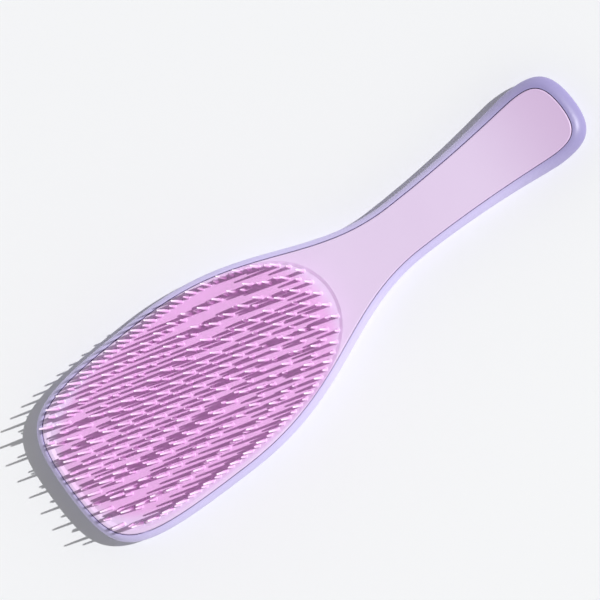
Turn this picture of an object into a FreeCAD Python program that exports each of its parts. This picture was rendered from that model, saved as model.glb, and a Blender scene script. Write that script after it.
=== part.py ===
import FreeCAD, Part
import math
import os

# A paddle-shaped detangling brush lying on its back, teeth up, in millimetres.
# X runs from the head end to the handle end, Z is up, and the flat of the back is at Z = 0.

# Plan of the body, station by station from the head end
HEAD_END_TO_WIDEST = 59.3
WIDEST_TO_NECK = 93.4
NECK_TO_FLARE = 56.4
FLARE_TO_HANDLE_END = 15.9
HEAD_WIDTH = 68.2
NECK_WIDTH = 23.0
HANDLE_WIDTH = 31.1

# Fullness of the outline's curves, as shares of the stretch that each one spans
HEAD_END_FULLNESS = 0.918
HEAD_SIDE_FULLNESS = 0.909
SHOULDER_FULLNESS = 0.477
NECK_IN_FULLNESS = 0.364
NECK_OUT_FULLNESS = 0.594
FLARE_FULLNESS = 0.105
HANDLE_SIDE_FULLNESS = 0.648
HANDLE_END_FULLNESS = 0.859

# Depth of the body, and the rounded lip that shows all round the face plate
BODY_HEIGHT = 8.8
LIP_DEPTH = 4.2
LIP_SQUARENESS = 1.8
LIP_HEAD_END = 2.7
LIP_HEAD = 2.2
LIP_NECK = 2.2
LIP_HANDLE = 3.5
LIP_HANDLE_END = 4.7

# How far the round of the back draws in from the outline before it reaches the flat
BACK_HEAD_END = 17.0
BACK_HEAD = 18.0
BACK_NECK = 6.5
BACK_HANDLE = 8.5
BACK_HANDLE_END = 8.0

# Sections that each curved wall is drawn through
BACK_SECTIONS = 9
LIP_SECTIONS = 6
CAVITY_SECTIONS = 4

# Moulded walls
WALL = 2.0
LEDGE = 1.6
PLATE_THICKNESS = 2.4
PLATE_EDGE_ROUND = 0.5
SEAM_GAP = 0.2

# Pegs under the face plate, pressed into bosses that stand on the shell's floor
PEG_DIAMETER = 3.0
PEG_LENGTH = 3.4
PEG_LEAD_IN = 0.6
PEG_CLEARANCE = 0.05
BOSS_WALL = 1.6
BOSS_HEAD_GAP = 0.2
HEAD_PEGS_FROM_END = (28.0, 82.0)
HEAD_PEGS_APART = 34.0
HANDLE_PEGS_FROM_NECK = (-22.0, 20.0, 54.0)

# Stiffening ribs on the shell's floor
RIB_THICKNESS = 1.4
RIB_TO_PLATE = 1.5
CROSS_RIBS_FROM_NECK = (-2.0, 38.0)
HEAD_RIBS_FROM_END = (42.0, 68.0)

# Shallow dish that holds the teeth
DISH_DEPTH = 0.5
DISH_SLOPE = 1.2
DISH_FROM_PLATE_EDGE = 1.3
DISH_LENGTH = 120.0
DISH_SIDE_FULLNESS = 0.88
DISH_APEX_FULLNESS = 0.34

# Teeth, standing in two tiers of rows. Each row is spread evenly across the field,
# and the short rows stand between the long ones.
PITCH_ALONG = 5.84
PITCH_ACROSS = 6.22
FIRST_LONG_ROW_FROM_END = 10.65
FIELD_MARGIN = 0.45
LONG_TOOTH_HEIGHT = 15.0
SHORT_TOOTH_HEIGHT = 7.2
TOOTH_ROOT_DIAMETER = 1.25
TOOTH_TIP_DIAMETER = 0.6
TOOTH_SEAT_GAP = 0.15
FEWEST_TEETH_IN_A_ROW = 2

LENGTH = HEAD_END_TO_WIDEST + WIDEST_TO_NECK + NECK_TO_FLARE + FLARE_TO_HANDLE_END
HEAD_END_X = -LENGTH / 2
WIDEST_X = HEAD_END_X + HEAD_END_TO_WIDEST
NECK_X = WIDEST_X + WIDEST_TO_NECK
FLARE_X = NECK_X + NECK_TO_FLARE
HANDLE_END_X = FLARE_X + FLARE_TO_HANDLE_END
WIDEST_Z = BODY_HEIGHT - LIP_DEPTH
LEDGE_Z = BODY_HEIGHT - PLATE_THICKNESS
DISH_Z = BODY_HEIGHT - DISH_DEPTH
PIVOT_Z = DISH_Z + TOOTH_SEAT_GAP + TOOTH_ROOT_DIAMETER / 2

# An inset says how far a curve lies inside the body's outline at each station:
# head end, head side, neck, handle side, handle end.
LIP = (LIP_HEAD_END, LIP_HEAD, LIP_NECK, LIP_HANDLE, LIP_HANDLE_END)
BACK = (BACK_HEAD_END, BACK_HEAD, BACK_NECK, BACK_HANDLE, BACK_HANDLE_END)


def point(x, y, z):
    return FreeCAD.Vector(x, y, z)


def share_of(inset, share):
    return tuple(value * share for value in inset)


def grown(inset, amount):
    return tuple(value + amount for value in inset)


def closed_curve(half, z):
    """A closed wire from one side's Bezier poles, listed as (x, y), and their mirror image."""
    near = [Part.BezierCurve() for _ in half]
    far = [Part.BezierCurve() for _ in half]
    for curve, poles in zip(near, half):
        curve.setPoles([point(x, y, z) for x, y in poles])
    for curve, poles in zip(far, reversed(half)):
        curve.setPoles([point(x, -y, z) for x, y in reversed(poles)])
    return Part.Wire([curve.toShape() for curve in near + far])


def body_outline(inset, z):
    """The paddle outline, drawn in by the inset at each station."""
    head_end, head, neck, handle, handle_end = inset
    x0, x1, x2, x3, x4 = HEAD_END_X + head_end, WIDEST_X, NECK_X, FLARE_X, HANDLE_END_X - handle_end
    y1 = HEAD_WIDTH / 2 - head
    y2 = NECK_WIDTH / 2 - neck
    y3 = HANDLE_WIDTH / 2 - handle
    half = [
        [(x0, 0), (x0, HEAD_END_FULLNESS * y1), (x1 - HEAD_SIDE_FULLNESS * (x1 - x0), y1), (x1, y1)],
        [(x1, y1), (x1 + SHOULDER_FULLNESS * (x2 - x1), y1),
         (x2 - NECK_IN_FULLNESS * (x2 - x1), y2), (x2, y2)],
        [(x2, y2), (x2 + NECK_OUT_FULLNESS * (x3 - x2), y2),
         (x3 - FLARE_FULLNESS * (x3 - x2), y3), (x3, y3)],
        [(x3, y3), (x3 + HANDLE_SIDE_FULLNESS * (x4 - x3), y3), (x4, HANDLE_END_FULLNESS * y3), (x4, 0)],
    ]
    return closed_curve(half, z)


def dish_outline(inset, z):
    """The oval of the dish, which follows the plate's edge round the head and closes before the neck."""
    edge = grown(LIP, SEAM_GAP + DISH_FROM_PLATE_EDGE + inset)
    x0, x1, x2 = HEAD_END_X + edge[0], WIDEST_X, HEAD_END_X + DISH_LENGTH - inset
    y1 = HEAD_WIDTH / 2 - edge[1]
    half = [
        [(x0, 0), (x0, HEAD_END_FULLNESS * y1), (x1 - HEAD_SIDE_FULLNESS * (x1 - x0), y1), (x1, y1)],
        [(x1, y1), (x1 + DISH_SIDE_FULLNESS * (x2 - x1), y1), (x2, DISH_APEX_FULLNESS * y1), (x2, 0)],
    ]
    return closed_curve(half, z)


def prism(wire, height):
    return Part.Face(wire).extrude(point(0, 0, height))


def outer_body():
    """The body without its hollow: a round back that rises from the flat, and the lip up to the seam."""
    back = []
    for step in range(BACK_SECTIONS + 1):
        angle = math.radians(90.0 * (1 - step / BACK_SECTIONS))
        inset = share_of(BACK, 1 - math.cos(angle))
        back.append(body_outline(inset, WIDEST_Z * (1 - math.sin(angle))))
    lip = []
    for step in range(LIP_SECTIONS + 1):
        angle = math.radians(90.0 * step / LIP_SECTIONS)
        inset = share_of(LIP, 1 - math.cos(angle) ** (2 / LIP_SQUARENESS))
        lip.append(body_outline(inset, WIDEST_Z + LIP_DEPTH * math.sin(angle) ** (2 / LIP_SQUARENESS)))
    return Part.makeLoft(back, True).fuse(Part.makeLoft(lip, True))


def cavity():
    """The hollow under the plate, which draws straight up past the ledge."""
    mouth = grown(LIP, LEDGE)
    wires = []
    for step in range(CAVITY_SECTIONS):
        angle = math.radians(90.0 * (1 - step / CAVITY_SECTIONS))
        wall = grown(share_of(BACK, 1 - math.cos(angle)), WALL)
        inset = tuple(max(pair) for pair in zip(mouth, wall))
        wires.append(body_outline(inset, WALL + (WIDEST_Z - WALL) * (1 - math.sin(angle))))
    wires.append(body_outline(mouth, LEDGE_Z))
    return Part.makeLoft(wires, True, True)


def peg_places():
    places = []
    for from_end in HEAD_PEGS_FROM_END:
        for side in (-1, 1):
            places.append((HEAD_END_X + from_end, side * HEAD_PEGS_APART / 2))
    for from_neck in HANDLE_PEGS_FROM_NECK:
        places.append((NECK_X + from_neck, 0.0))
    return places


def upright(x, y, low, high, radius):
    return Part.makeCylinder(radius, high - low, point(x, y, low))


def boss_top():
    return LEDGE_Z - BOSS_HEAD_GAP


def boss_bore(x, y):
    depth = PEG_LENGTH + BOSS_HEAD_GAP
    return upright(x, y, LEDGE_Z - depth, LEDGE_Z, PEG_DIAMETER / 2 + PEG_CLEARANCE)


def ribs(hollow):
    """Thin walls on the shell's floor: a spine along the handle and short ribs across."""
    top = LEDGE_Z - RIB_TO_PLATE
    first = NECK_X + HANDLE_PEGS_FROM_NECK[0]
    last = NECK_X + HANDLE_PEGS_FROM_NECK[-1]
    spine = Part.makeBox(last - first, RIB_THICKNESS, top, point(first, -RIB_THICKNESS / 2, 0))
    stations = [NECK_X + at for at in CROSS_RIBS_FROM_NECK]
    stations += [HEAD_END_X + at for at in HEAD_RIBS_FROM_END]
    walls = [spine]
    for x in stations:
        low = point(x - RIB_THICKNESS / 2, -HEAD_WIDTH / 2, 0)
        walls.append(Part.makeBox(RIB_THICKNESS, HEAD_WIDTH, top, low))
    return [wall.common(hollow) for wall in walls]


def back_shell():
    """Handle and back in one hollow moulding, with the ledge that carries the face plate."""
    body = outer_body()
    hollow = cavity()
    seat = prism(body_outline(LIP, LEDGE_Z), PLATE_THICKNESS + LIP_DEPTH)
    radius = PEG_DIAMETER / 2 + PEG_CLEARANCE + BOSS_WALL
    bosses = [upright(x, y, 0, boss_top(), radius).common(hollow) for x, y in peg_places()]
    shell = body.cut(seat).cut(hollow).multiFuse(bosses + ribs(hollow))
    shell = shell.cut(Part.makeCompound([boss_bore(x, y) for x, y in peg_places()]))
    return shell.removeSplitter()


def peg(x, y):
    """A round peg with a short lead-in cone, hanging from the plate's underside."""
    low = LEDGE_Z - PEG_LENGTH
    shank = upright(x, y, low + PEG_LEAD_IN, LEDGE_Z, PEG_DIAMETER / 2)
    lead = Part.makeCone(PEG_DIAMETER / 2 - PEG_LEAD_IN, PEG_DIAMETER / 2, PEG_LEAD_IN, point(x, y, low))
    return shank.fuse(lead)


def face_plate():
    """Tooth plate and handle face in one sheet, with a rounded edge, the dish and the pegs."""
    edge = grown(LIP, SEAM_GAP)
    plate = prism(body_outline(edge, LEDGE_Z), PLATE_THICKNESS)
    rim = [e for e in plate.Edges if min(v.Z for v in e.Vertexes) > BODY_HEIGHT - PLATE_EDGE_ROUND]
    plate = plate.makeFillet(PLATE_EDGE_ROUND, rim)
    dish = Part.makeLoft([dish_outline(DISH_SLOPE, DISH_Z), dish_outline(0, BODY_HEIGHT)], True, True)
    plate = plate.cut(dish)
    return plate.multiFuse([peg(x, y) for x, y in peg_places()])


def tooth(height):
    """A slim tooth on the origin: a ball root, a tapering shank and a round tip."""
    root = TOOTH_ROOT_DIAMETER / 2
    tip = TOOTH_TIP_DIAMETER / 2
    diagonal = math.sqrt(0.5)
    low = TOOTH_SEAT_GAP
    middle = low + root
    top = height - tip
    heel = point(root * diagonal, 0, middle - root * diagonal)
    foot = Part.Arc(point(0, 0, low), heel, point(root, 0, middle))
    side = Part.LineSegment(point(root, 0, middle), point(tip, 0, top))
    nose = Part.Arc(point(tip, 0, top), point(tip * diagonal, 0, top + tip * diagonal), point(0, 0, height))
    axis = Part.LineSegment(point(0, 0, height), point(0, 0, low))
    profile = Part.Wire([curve.toShape() for curve in (foot, side, nose, axis)])
    return Part.Face(profile).revolve(point(0, 0, 0), point(0, 0, 1), 360)


def half_width(field, x):
    """Half the width of the tooth field at a station along X, or nothing past its end."""
    line = Part.makeLine(point(x, -HEAD_WIDTH, DISH_Z), point(x, HEAD_WIDTH, DISH_Z))
    crossing = field.common(line)
    return crossing.BoundBox.YMax if crossing.Edges else 0.0


def tooth_rows(first, stagger, height):
    """Rows of one tier: a station along X and the solids that stand there, spread across the field."""
    field = Part.Face(dish_outline(DISH_SLOPE + FIELD_MARGIN, DISH_Z))
    pattern = tooth(height)
    rows = []
    for step in range(math.ceil(DISH_LENGTH / PITCH_ALONG)):
        x = HEAD_END_X + first + step * PITCH_ALONG
        half = half_width(field, x)
        a_side = round(half / PITCH_ACROSS + stagger)
        if a_side < 1:
            continue
        spacing = half / (a_side - stagger)
        side = [spacing * (k - stagger) for k in range(1, a_side + 1)]
        middle = [] if stagger else [0.0]
        places = [-y for y in reversed(side)] + middle + side
        if len(places) >= FEWEST_TEETH_IN_A_ROW:
            rows.append((x, [pattern.translated(point(x, y, DISH_Z)) for y in places]))
    return rows


def save(name, shape):
    shape.exportStep(os.path.join("parts", name + ".step"))
    solids = shape.Solids
    volume = sum(solid.Volume for solid in solids)
    print(name, "solids", len(solids), "valid", shape.isValid(), "volume", round(volume, 2))


os.makedirs("parts", exist_ok=True)
save("back_shell", back_shell())
save("face_plate", face_plate())
tiers = (
    ("long_teeth_row", FIRST_LONG_ROW_FROM_END, 0.0, LONG_TOOTH_HEIGHT),
    ("short_teeth_row", FIRST_LONG_ROW_FROM_END - PITCH_ALONG / 2, 0.5, SHORT_TOOTH_HEIGHT),
)
for tier, first, stagger, height in tiers:
    for number, (x, teeth) in enumerate(tooth_rows(first, stagger, height), 1):
        name = f"{tier}_{number:02d}"
        save(name, Part.makeCompound(teeth))
        print(name, "flexes about X", round(x, 4), "Z", round(PIVOT_Z, 4), "height", height)
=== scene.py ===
# %% [markdown]
# # A detangling brush, dressed for a picture
# The CAD model is loaded as a fixed frame: a back shell with its handle, a face plate, and rows of
# long and short teeth. This lesson gives each of them the plastic that it is moulded from, adds the
# small fillets at the roots of the teeth, and sets up a table, the light and the camera.
# Lengths are in metres, in the frame of the CAD model: X runs from the head to the handle end, and
# the teeth point up along Z.

# %% Load the frame
import math

import bpy
from mathutils import Matrix, Vector


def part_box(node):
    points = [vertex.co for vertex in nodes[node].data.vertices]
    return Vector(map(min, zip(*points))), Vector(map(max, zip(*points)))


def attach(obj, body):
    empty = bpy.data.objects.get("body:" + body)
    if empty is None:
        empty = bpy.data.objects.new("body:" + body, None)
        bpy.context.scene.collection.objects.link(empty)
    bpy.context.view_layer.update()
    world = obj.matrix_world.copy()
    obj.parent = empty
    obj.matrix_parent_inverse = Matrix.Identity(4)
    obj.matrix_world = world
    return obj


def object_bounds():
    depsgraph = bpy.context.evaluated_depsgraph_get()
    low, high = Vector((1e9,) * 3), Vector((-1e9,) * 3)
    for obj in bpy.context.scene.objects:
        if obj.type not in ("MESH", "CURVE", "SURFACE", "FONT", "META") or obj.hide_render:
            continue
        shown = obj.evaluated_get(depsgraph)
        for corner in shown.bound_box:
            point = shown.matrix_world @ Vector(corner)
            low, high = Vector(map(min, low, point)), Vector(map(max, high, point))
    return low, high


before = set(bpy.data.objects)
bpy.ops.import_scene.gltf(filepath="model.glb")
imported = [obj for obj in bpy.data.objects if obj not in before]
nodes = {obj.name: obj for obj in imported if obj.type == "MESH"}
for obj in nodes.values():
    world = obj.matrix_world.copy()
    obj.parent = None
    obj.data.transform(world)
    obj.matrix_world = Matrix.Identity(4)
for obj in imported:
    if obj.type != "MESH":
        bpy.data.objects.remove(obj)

MM = 0.001
cad_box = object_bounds()
tooth_rows = sorted(name for name in nodes if "teeth_row" in name)
print("nodes", len(nodes), "of them rows of teeth", len(tooth_rows))

# %% [markdown]
# ## Three small helpers
# Colours are easiest to read as the hex values of a paint chart, but shaders work in linear light, so
# one function turns the first into the second. A shader is a tree of nodes, and nearly every line of
# building one is the same: make a node, set it up, link it. One function does that for every kind.
# The third starts a material with an empty tree. A Mix node has one result for each kind of value, and
# its colour is the third of them, which gets a name here.

# %% Helpers for colour and nodes
MIXED_COLOUR = 2


def linear(hex_colour):
    """An sRGB hex value as linear red, green, blue and alpha."""
    channels = [int(hex_colour[place:place + 2], 16) / 255 for place in (1, 3, 5)]
    return [c / 12.92 if c <= 0.04045 else ((c + 0.055) / 1.055) ** 2.4 for c in channels] + [1.0]


def add_node(tree, kind, inputs=None, **settings):
    """Adds a node with its settings. An input is a plain value, or another node's output to link."""
    made = tree.nodes.new(kind)
    for name, value in settings.items():
        setattr(made, name, value)
    for socket, value in (inputs or {}).items():
        if isinstance(value, bpy.types.NodeSocket):
            tree.links.new(value, made.inputs[socket])
        else:
            made.inputs[socket].default_value = value
    return made


def new_material(name):
    """An empty material and its tree, with only the output node left in it."""
    material = bpy.data.materials.new(name)
    material.use_nodes = True
    tree = material.node_tree
    tree.nodes.clear()
    return material, tree, tree.nodes.new("ShaderNodeOutputMaterial")


print("lilac in linear light", [round(c, 3) for c in linear("#E6D3EF")])

# %% [markdown]
# ## The back shell: moulded ABS
# The shell is a hard ABS moulding in pale periwinkle. Its mould was spark-eroded, which leaves an even,
# very fine grain, so the eye sees a satin surface with broad, soft highlights. A picture of the plastic
# could be wrapped round the shell, but it would need seams and would blur close up, so two noises do
# the work. The fine one is the grit: about a tenth of a millimetre, too fine for the picture, so it is
# drawn a few times coarser. The slow one is the faint unevenness of pigment in any moulding. Towards
# the handle end both mouldings are painted darker: a share that rises along the handle mixes in a
# deeper tint, which is painted shade for the light falling off there. All of them use object
# coordinates, which stay with the piece and are in metres.

# %% Moulded ABS
SATIN_GRIT = 0.35 * MM
SHELL_GRAIN_HEIGHT = 0.004 * MM
PIGMENT_CLOUD = 28 * MM
HANDLE_SHADE_FROM = 66 * MM


def pigment(tree, place, light, deep):
    """A base colour that drifts a little between two shades, as pigment does in a moulding."""
    cloud = add_node(tree, "ShaderNodeTexNoise", {
        "Vector": place,
        "Scale": 1 / PIGMENT_CLOUD,
        "Detail": 2.0,
    })
    return add_node(tree, "ShaderNodeMix", {
        "Factor": cloud.outputs["Fac"],
        "A": linear(light),
        "B": linear(deep),
    }, data_type="RGBA").outputs[MIXED_COLOUR]


def satin_grain(tree, place, height):
    """A bump from the mould's fine grit. Height is in metres."""
    grit = add_node(tree, "ShaderNodeTexNoise", {
        "Vector": place,
        "Scale": 1 / SATIN_GRIT,
        "Detail": 1.0,
    })
    return add_node(tree, "ShaderNodeBump", {
        "Height": grit.outputs["Fac"],
        "Strength": 1.0,
        "Distance": height,
    })


def handle_end_painted_shade(tree, place):
    """The share of painted shade towards the handle end: nothing along the head and the neck, rising to
    one at the handle end.
    """
    along = add_node(tree, "ShaderNodeSeparateXYZ", {"Vector": place})
    return add_node(tree, "ShaderNodeMapRange", {
        "Value": along.outputs["X"],
        "From Min": HANDLE_SHADE_FROM,
        "From Max": cad_box[1][0],
    }, interpolation_type="SMOOTHSTEP").outputs["Result"]


shell_abs, tree, output = new_material("moulded ABS, satin periwinkle, painted shade at handle end")
place = add_node(tree, "ShaderNodeTexCoord").outputs["Object"]
# Painted shade: the periwinkle turns deeper towards the handle end, standing in for the light falling
# off there.
colour = add_node(tree, "ShaderNodeMix", {
    "Factor": handle_end_painted_shade(tree, place),
    "A": pigment(tree, place, "#CDC4EC", "#C8BEE9"),
    "B": pigment(tree, place, "#928AB9", "#8D85B5"),
}, data_type="RGBA")
grain = satin_grain(tree, place, SHELL_GRAIN_HEIGHT)
skin = add_node(tree, "ShaderNodeBsdfPrincipled", {
    "Base Color": colour.outputs[MIXED_COLOUR],
    "Roughness": 0.42,
    "IOR": 1.53,
    "Normal": grain.outputs["Normal"],
})
tree.links.new(skin.outputs["BSDF"], output.inputs["Surface"])
print("made", shell_abs.name)

# %% [markdown]
# ## The face plate: satin nylon in two tints, the pink one partly painted shade
# The plate is a pale lilac nylon. Between the teeth it is a deeper pink, which is partly the plate's
# own
# tint and partly painted shade: it darkens the floor there and turns it pinker, standing in for the
# shade of the teeth and the pink light they bounce onto it. The tint fades out towards the edge of the
# dish. Towards the handle end the lilac is painted darker, as on the shell. The tint could be painted
# on
# the mesh's points, but the flat of the plate has few of them, so a formula describes the field
# instead:
# a rounded oval whose two ends have their own reach, and its sides another. The oval's measure grows
# from nothing in the middle to one on its edge, and the tint starts just outside that edge and is full
# a little way in.

# %% Moulded nylon for the plate
PLATE_GRAIN_HEIGHT = 0.003 * MM
FIELD_MIDDLE = -56 * MM
FIELD_TO_HEAD_END = 54 * MM
FIELD_TO_NECK = 61 * MM
FIELD_TO_SIDE = 30.2 * MM
OVAL_POWER = 2.6
SHADE_TINT_STARTS = 1.03
SHADE_TINT_FULL = 0.78


def teeth_field_painted_shade(tree, place):
    """The share of the deeper pink and its painted shade: one among the teeth, falling to nothing near
    the edge of their field.
    """
    kind = "ShaderNodeMath"
    axes = add_node(tree, "ShaderNodeSeparateXYZ", {"Vector": place}).outputs
    shift = add_node(tree, kind, {0: axes["X"], 1: FIELD_MIDDLE}, operation="SUBTRACT").outputs[0]
    to_head = add_node(tree, kind, {0: shift, 1: -FIELD_TO_HEAD_END}, operation="DIVIDE").outputs[0]
    to_neck = add_node(tree, kind, {0: shift, 1: FIELD_TO_NECK}, operation="DIVIDE").outputs[0]
    along = add_node(tree, kind, {0: to_head, 1: to_neck}, operation="MAXIMUM").outputs[0]
    sideways = add_node(tree, kind, {0: axes["Y"]}, operation="ABSOLUTE").outputs[0]
    aside = add_node(tree, kind, {0: sideways, 1: FIELD_TO_SIDE}, operation="DIVIDE").outputs[0]
    along_part = add_node(tree, kind, {0: along, 1: OVAL_POWER}, operation="POWER").outputs[0]
    aside_part = add_node(tree, kind, {0: aside, 1: OVAL_POWER}, operation="POWER").outputs[0]
    oval = add_node(tree, kind, {0: along_part, 1: aside_part}, operation="ADD").outputs[0]
    return add_node(tree, "ShaderNodeMapRange", {
        "Value": oval,
        "From Min": SHADE_TINT_STARTS,
        "From Max": SHADE_TINT_FULL,
    }, interpolation_type="SMOOTHSTEP").outputs["Result"]


plate_nylon, tree, output = new_material("moulded nylon, lilac, pink with painted shade")
place = add_node(tree, "ShaderNodeTexCoord").outputs["Object"]
# Painted shade: the lilac turns deeper towards the handle end, standing in for the light falling off
# there.
lilac = add_node(tree, "ShaderNodeMix", {
    "Factor": handle_end_painted_shade(tree, place),
    "A": pigment(tree, place, "#E6D3EF", "#E1CCEA"),
    "B": pigment(tree, place, "#D4B9DB", "#D0B4D8"),
}, data_type="RGBA")
# Partly painted shade: the deeper pink among the teeth is partly the plate's own tint and partly
# painted shade and pink bounce light.
colour = add_node(tree, "ShaderNodeMix", {
    "Factor": teeth_field_painted_shade(tree, place),
    "A": lilac.outputs[MIXED_COLOUR],
    "B": pigment(tree, place, "#E6B9E5", "#E1B2E0"),
}, data_type="RGBA")
grain = satin_grain(tree, place, PLATE_GRAIN_HEIGHT)
skin = add_node(tree, "ShaderNodeBsdfPrincipled", {
    "Base Color": colour.outputs[MIXED_COLOUR],
    "Roughness": 0.4,
    "IOR": 1.53,
    "Normal": grain.outputs["Normal"],
})
tree.links.new(skin.outputs["BSDF"], output.inputs["Surface"])
print("made", plate_nylon.name)

# %% [markdown]
# ## The teeth: the same pink nylon, thinner
# A tooth is so thin that light passes into it from every side, and its tip looks paler than its root.
# Light inside the plastic could be traced, but in pins a millimetre thick that costs time and smears
# their shadows. The colour therefore runs from a deeper pink at the root to a pale one at the tip of a
# long tooth. The pale tip is painted light, standing in for the light through the plastic and the
# key's glint on the tips, and the deeper root is painted shade. A tooth is only a few grains of the
# drawn grit wide, so it gets no bump.

# %% Moulded nylon for the teeth
long_low, long_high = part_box(tooth_rows[0])

tooth_nylon, tree, output = new_material("moulded nylon, slim pink teeth, painted light at tips")
place = add_node(tree, "ShaderNodeTexCoord").outputs["Object"]
axes = add_node(tree, "ShaderNodeSeparateXYZ", {"Vector": place})
# Painted light and shade: pale towards the tip for light through the plastic and the key's glint,
# deeper at the shaded root.
painted_light_towards_tip = add_node(tree, "ShaderNodeMapRange", {
    "Value": axes.outputs["Z"],
    "From Min": long_low.z,
    "From Max": long_high.z,
})
colour = add_node(tree, "ShaderNodeMix", {
    "Factor": painted_light_towards_tip.outputs["Result"],
    "A": linear("#EEB6EB"),
    "B": linear("#FFECFF"),
}, data_type="RGBA")
skin = add_node(tree, "ShaderNodeBsdfPrincipled", {
    "Base Color": colour.outputs[MIXED_COLOUR],
    "Roughness": 0.35,
    "IOR": 1.53,
})
tree.links.new(skin.outputs["BSDF"], output.inputs["Surface"])
print("made", tooth_nylon.name, "from", round(long_low.z, 4), "to", round(long_high.z, 4))

# %% [markdown]
# ## Dress the CAD pieces
# The shell, the plate and the teeth already have their true shapes, so each CAD node keeps its own mesh
# and only takes a material.

# %% Give each node its plastic
finishes = {"back_shell": shell_abs, "face_plate": plate_nylon}
for name, piece in nodes.items():
    piece.data.materials.clear()
    piece.data.materials.append(finishes.get(name, tooth_nylon))
    for face in piece.data.polygons:
        face.material_index = 0
print("dressed", len(nodes), "nodes")

# %% [markdown]
# ## Root fillets
# Where a moulded tooth meets its plate there is always a small fillet, or it would snap there. The CAD
# teeth are loose solids that can lean, so the fillets can't be part of them. They are added here as one
# mesh of rings that rides on the plate. A row's points, sorted across the brush, fall into one run per
# tooth, and the middle of a run is where that tooth stands. A ring reaches up to the widest part of the
# ball root, which turns inside it.

# %% Rings round the roots
GAP_BETWEEN_TEETH = 1.0 * MM
FILLET_WIDTH = 0.35 * MM
FILLET_CLEARANCE = 0.01 * MM
FILLET_STEPS = 5
RING_SIDES = 16
TOOTH_SEAT_GAP = 0.15 * MM
DISH_FLOOR = long_low.z - TOOTH_SEAT_GAP


def feet_of(row):
    """The places, as (x, y), where a row's teeth stand."""
    low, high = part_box(row)
    across = sorted(vertex.co.y for vertex in nodes[row].data.vertices)
    teeth = [[across[0]]]
    for y in across[1:]:
        if y - teeth[-1][-1] > GAP_BETWEEN_TEETH:
            teeth.append([])
        teeth[-1].append(y)
    return [((low.x + high.x) / 2, (tooth[0] + tooth[-1]) / 2) for tooth in teeth]


def root_radius(row):
    """Half of a row's extent along the brush, which is the radius of its ball roots."""
    low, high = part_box(row)
    return (high.x - low.x) / 2


corners = []
faces = []
for row in tooth_rows:
    inner = root_radius(row) + FILLET_CLEARANCE
    rise = root_radius(row) + TOOTH_SEAT_GAP
    for x, y in feet_of(row):
        first = len(corners)
        for step in range(FILLET_STEPS + 1):
            turn = math.radians(90 * step / FILLET_STEPS)
            radius = inner + FILLET_WIDTH * (1 - math.sin(turn))
            z = DISH_FLOOR + rise * (1 - math.cos(turn))
            for side in range(RING_SIDES):
                angle = 2 * math.pi * side / RING_SIDES
                corners.append((x + radius * math.cos(angle), y + radius * math.sin(angle), z))
        for step in range(FILLET_STEPS):
            for side in range(RING_SIDES):
                a = first + step * RING_SIDES + side
                b = first + step * RING_SIDES + (side + 1) % RING_SIDES
                faces.append((a, b, b + RING_SIDES, a + RING_SIDES))

mesh = bpy.data.meshes.new("tooth_root_fillets")
mesh.from_pydata(corners, [], faces)
mesh.shade_smooth()
fillets = bpy.data.objects.new("tooth_root_fillets", mesh)
bpy.context.scene.collection.objects.link(fillets)
fillets.data.materials.append(plate_nylon)
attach(fillets, "brush_body")
print("root fillets", len(corners) // ((FILLET_STEPS + 1) * RING_SIDES))

# %% [markdown]
# ## The table
# A plain pale table top, big enough to fill every view, with the faintest unevenness in its tone. It
# lies a hair below the brush, because two faces in one plane would flicker.

# %% Pale table
TABLE_SIZE = 6.0
TABLE_CLOUD = 300 * MM
TABLE_BELOW_BRUSH = 0.02 * MM

table_top, tree, output = new_material("satin white laminate")
place = add_node(tree, "ShaderNodeTexCoord").outputs["Object"]
cloud = add_node(tree, "ShaderNodeTexNoise", {
    "Vector": place,
    "Scale": 1 / TABLE_CLOUD,
    "Detail": 1.0,
})
colour = add_node(tree, "ShaderNodeMix", {
    "Factor": cloud.outputs["Fac"],
    "A": linear("#F0F1F3"),
    "B": linear("#F3F4F5"),
}, data_type="RGBA")
skin = add_node(tree, "ShaderNodeBsdfPrincipled", {
    "Base Color": colour.outputs[MIXED_COLOUR],
    "Roughness": 0.7,
    "Specular IOR Level": 0.2,
})
tree.links.new(skin.outputs["BSDF"], output.inputs["Surface"])

bpy.ops.mesh.primitive_plane_add(size=TABLE_SIZE, location=(0, 0, -TABLE_BELOW_BRUSH))
table = bpy.context.object
table.name = "table"
table.data.materials.append(table_top)
print("table", TABLE_SIZE, "m across")

# %% [markdown]
# ## Light
# One clear key light from the handle side, high enough that each tooth throws a shadow about as long as
# itself, and a pale room that fills those shadows. The room is a studio with bright walls and a dark
# ceiling: its light grows from nothing at the zenith to its full strength at the horizon. An open table
# gets plenty of that, while the gaps between the teeth see little of the walls and stay deep. Together
# key and room light a white surface to about white, so that every colour shows as it was written.

# %% Key light and room
KEY_HEADING = math.radians(17)
KEY_HEIGHT = math.radians(42)
KEY_SOFTNESS = math.radians(0.6)
KEY_SHARE = 0.68
WALLS = 1.05
WALL_STEEPNESS = 2.0

key = bpy.data.lights.new("key", "SUN")
key.energy = KEY_SHARE * math.pi / math.sin(KEY_HEIGHT)
key.angle = KEY_SOFTNESS
key_lamp = bpy.data.objects.new("key", key)
bpy.context.scene.collection.objects.link(key_lamp)
travel = Vector((
    -math.cos(KEY_HEADING) * math.cos(KEY_HEIGHT),
    math.sin(KEY_HEADING) * math.cos(KEY_HEIGHT),
    -math.sin(KEY_HEIGHT),
))
key_lamp.rotation_euler = travel.to_track_quat("-Z", "Y").to_euler()

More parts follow.
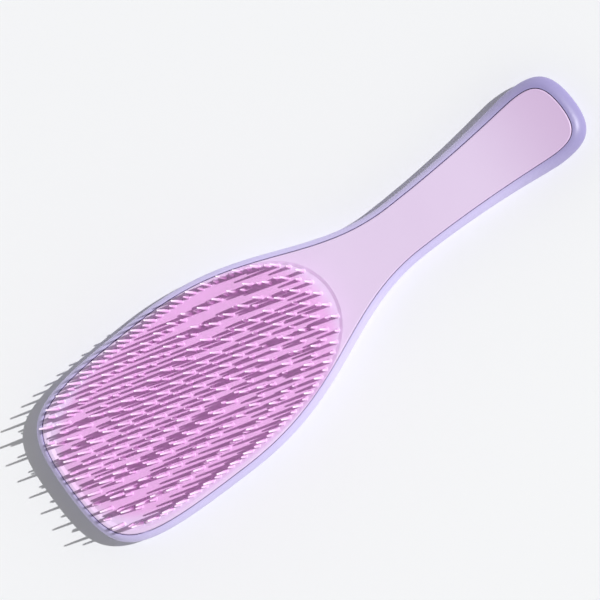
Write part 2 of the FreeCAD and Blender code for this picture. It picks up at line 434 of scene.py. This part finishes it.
world = bpy.data.worlds.new("pale studio")
world.use_nodes = True
bpy.context.scene.world = world
tree = world.node_tree
tree.nodes.clear()
direction = add_node(tree, "ShaderNodeTexCoord").outputs["Generated"]
upward = add_node(tree, "ShaderNodeSeparateXYZ", {"Vector": direction}).outputs["Z"]
squared = add_node(tree, "ShaderNodeMath", {0: upward, 1: upward}, operation="MULTIPLY")
level = add_node(tree, "ShaderNodeMath", {
    0: 1.0,
    1: squared.outputs["Value"],
}, operation="SUBTRACT")
steep = add_node(tree, "ShaderNodeMath", {
    0: level.outputs["Value"],
    1: WALL_STEEPNESS,
}, operation="POWER")
strength = add_node(tree, "ShaderNodeMath", {
    0: steep.outputs["Value"],
    1: WALLS,
}, operation="MULTIPLY")
room = add_node(tree, "ShaderNodeBackground", {
    "Color": linear("#FFFFFF"),
    "Strength": strength.outputs["Value"],
})
add_node(tree, "ShaderNodeOutputWorld", {"Surface": room.outputs["Background"]})
print("key", round(key.energy, 2), "room adds", round(WALLS / (WALL_STEEPNESS + 1), 2))

# %% [markdown]
# ## Camera
# The camera looks steeply down on the face, a little from the handle's side, and is rolled so that the
# handle points to the upper right. Its place is given by the angles round the aim point, as a
# photographer would note it.

# %% Camera
VIEW_AZIMUTH = math.radians(47.658)
VIEW_ELEVATION = math.radians(80.3255)
VIEW_ROLL = math.radians(-85.3105)
VIEW_DISTANCE = 652.63 * MM
AIM = Vector((-3.6726 * MM, 2.5435 * MM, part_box("face_plate")[1].z))
SENSOR = 36.0
LENS = 112.76
FARTHEST_SEEN = 20.0

towards = Vector((
    math.sin(VIEW_AZIMUTH) * math.cos(VIEW_ELEVATION),
    -math.cos(VIEW_AZIMUTH) * math.cos(VIEW_ELEVATION),
    math.sin(VIEW_ELEVATION),
))
right = (-towards).cross(Vector((0, 0, 1))).normalized()
up = right.cross(-towards)
upright = Matrix((right, up, towards)).transposed()
lens = bpy.data.cameras.new("camera")
lens.sensor_width = SENSOR
lens.lens = LENS
lens.clip_end = FARTHEST_SEEN
camera = bpy.data.objects.new("camera", lens)
bpy.context.scene.collection.objects.link(camera)
camera.matrix_world = (
    Matrix.Translation(AIM + towards * VIEW_DISTANCE)
    @ (upright @ Matrix.Rotation(VIEW_ROLL, 3, "Z")).to_4x4()
)
bpy.context.scene.camera = camera
bpy.context.scene.view_settings.view_transform = "Standard"
print("camera at", [round(c, 3) for c in camera.matrix_world.translation])
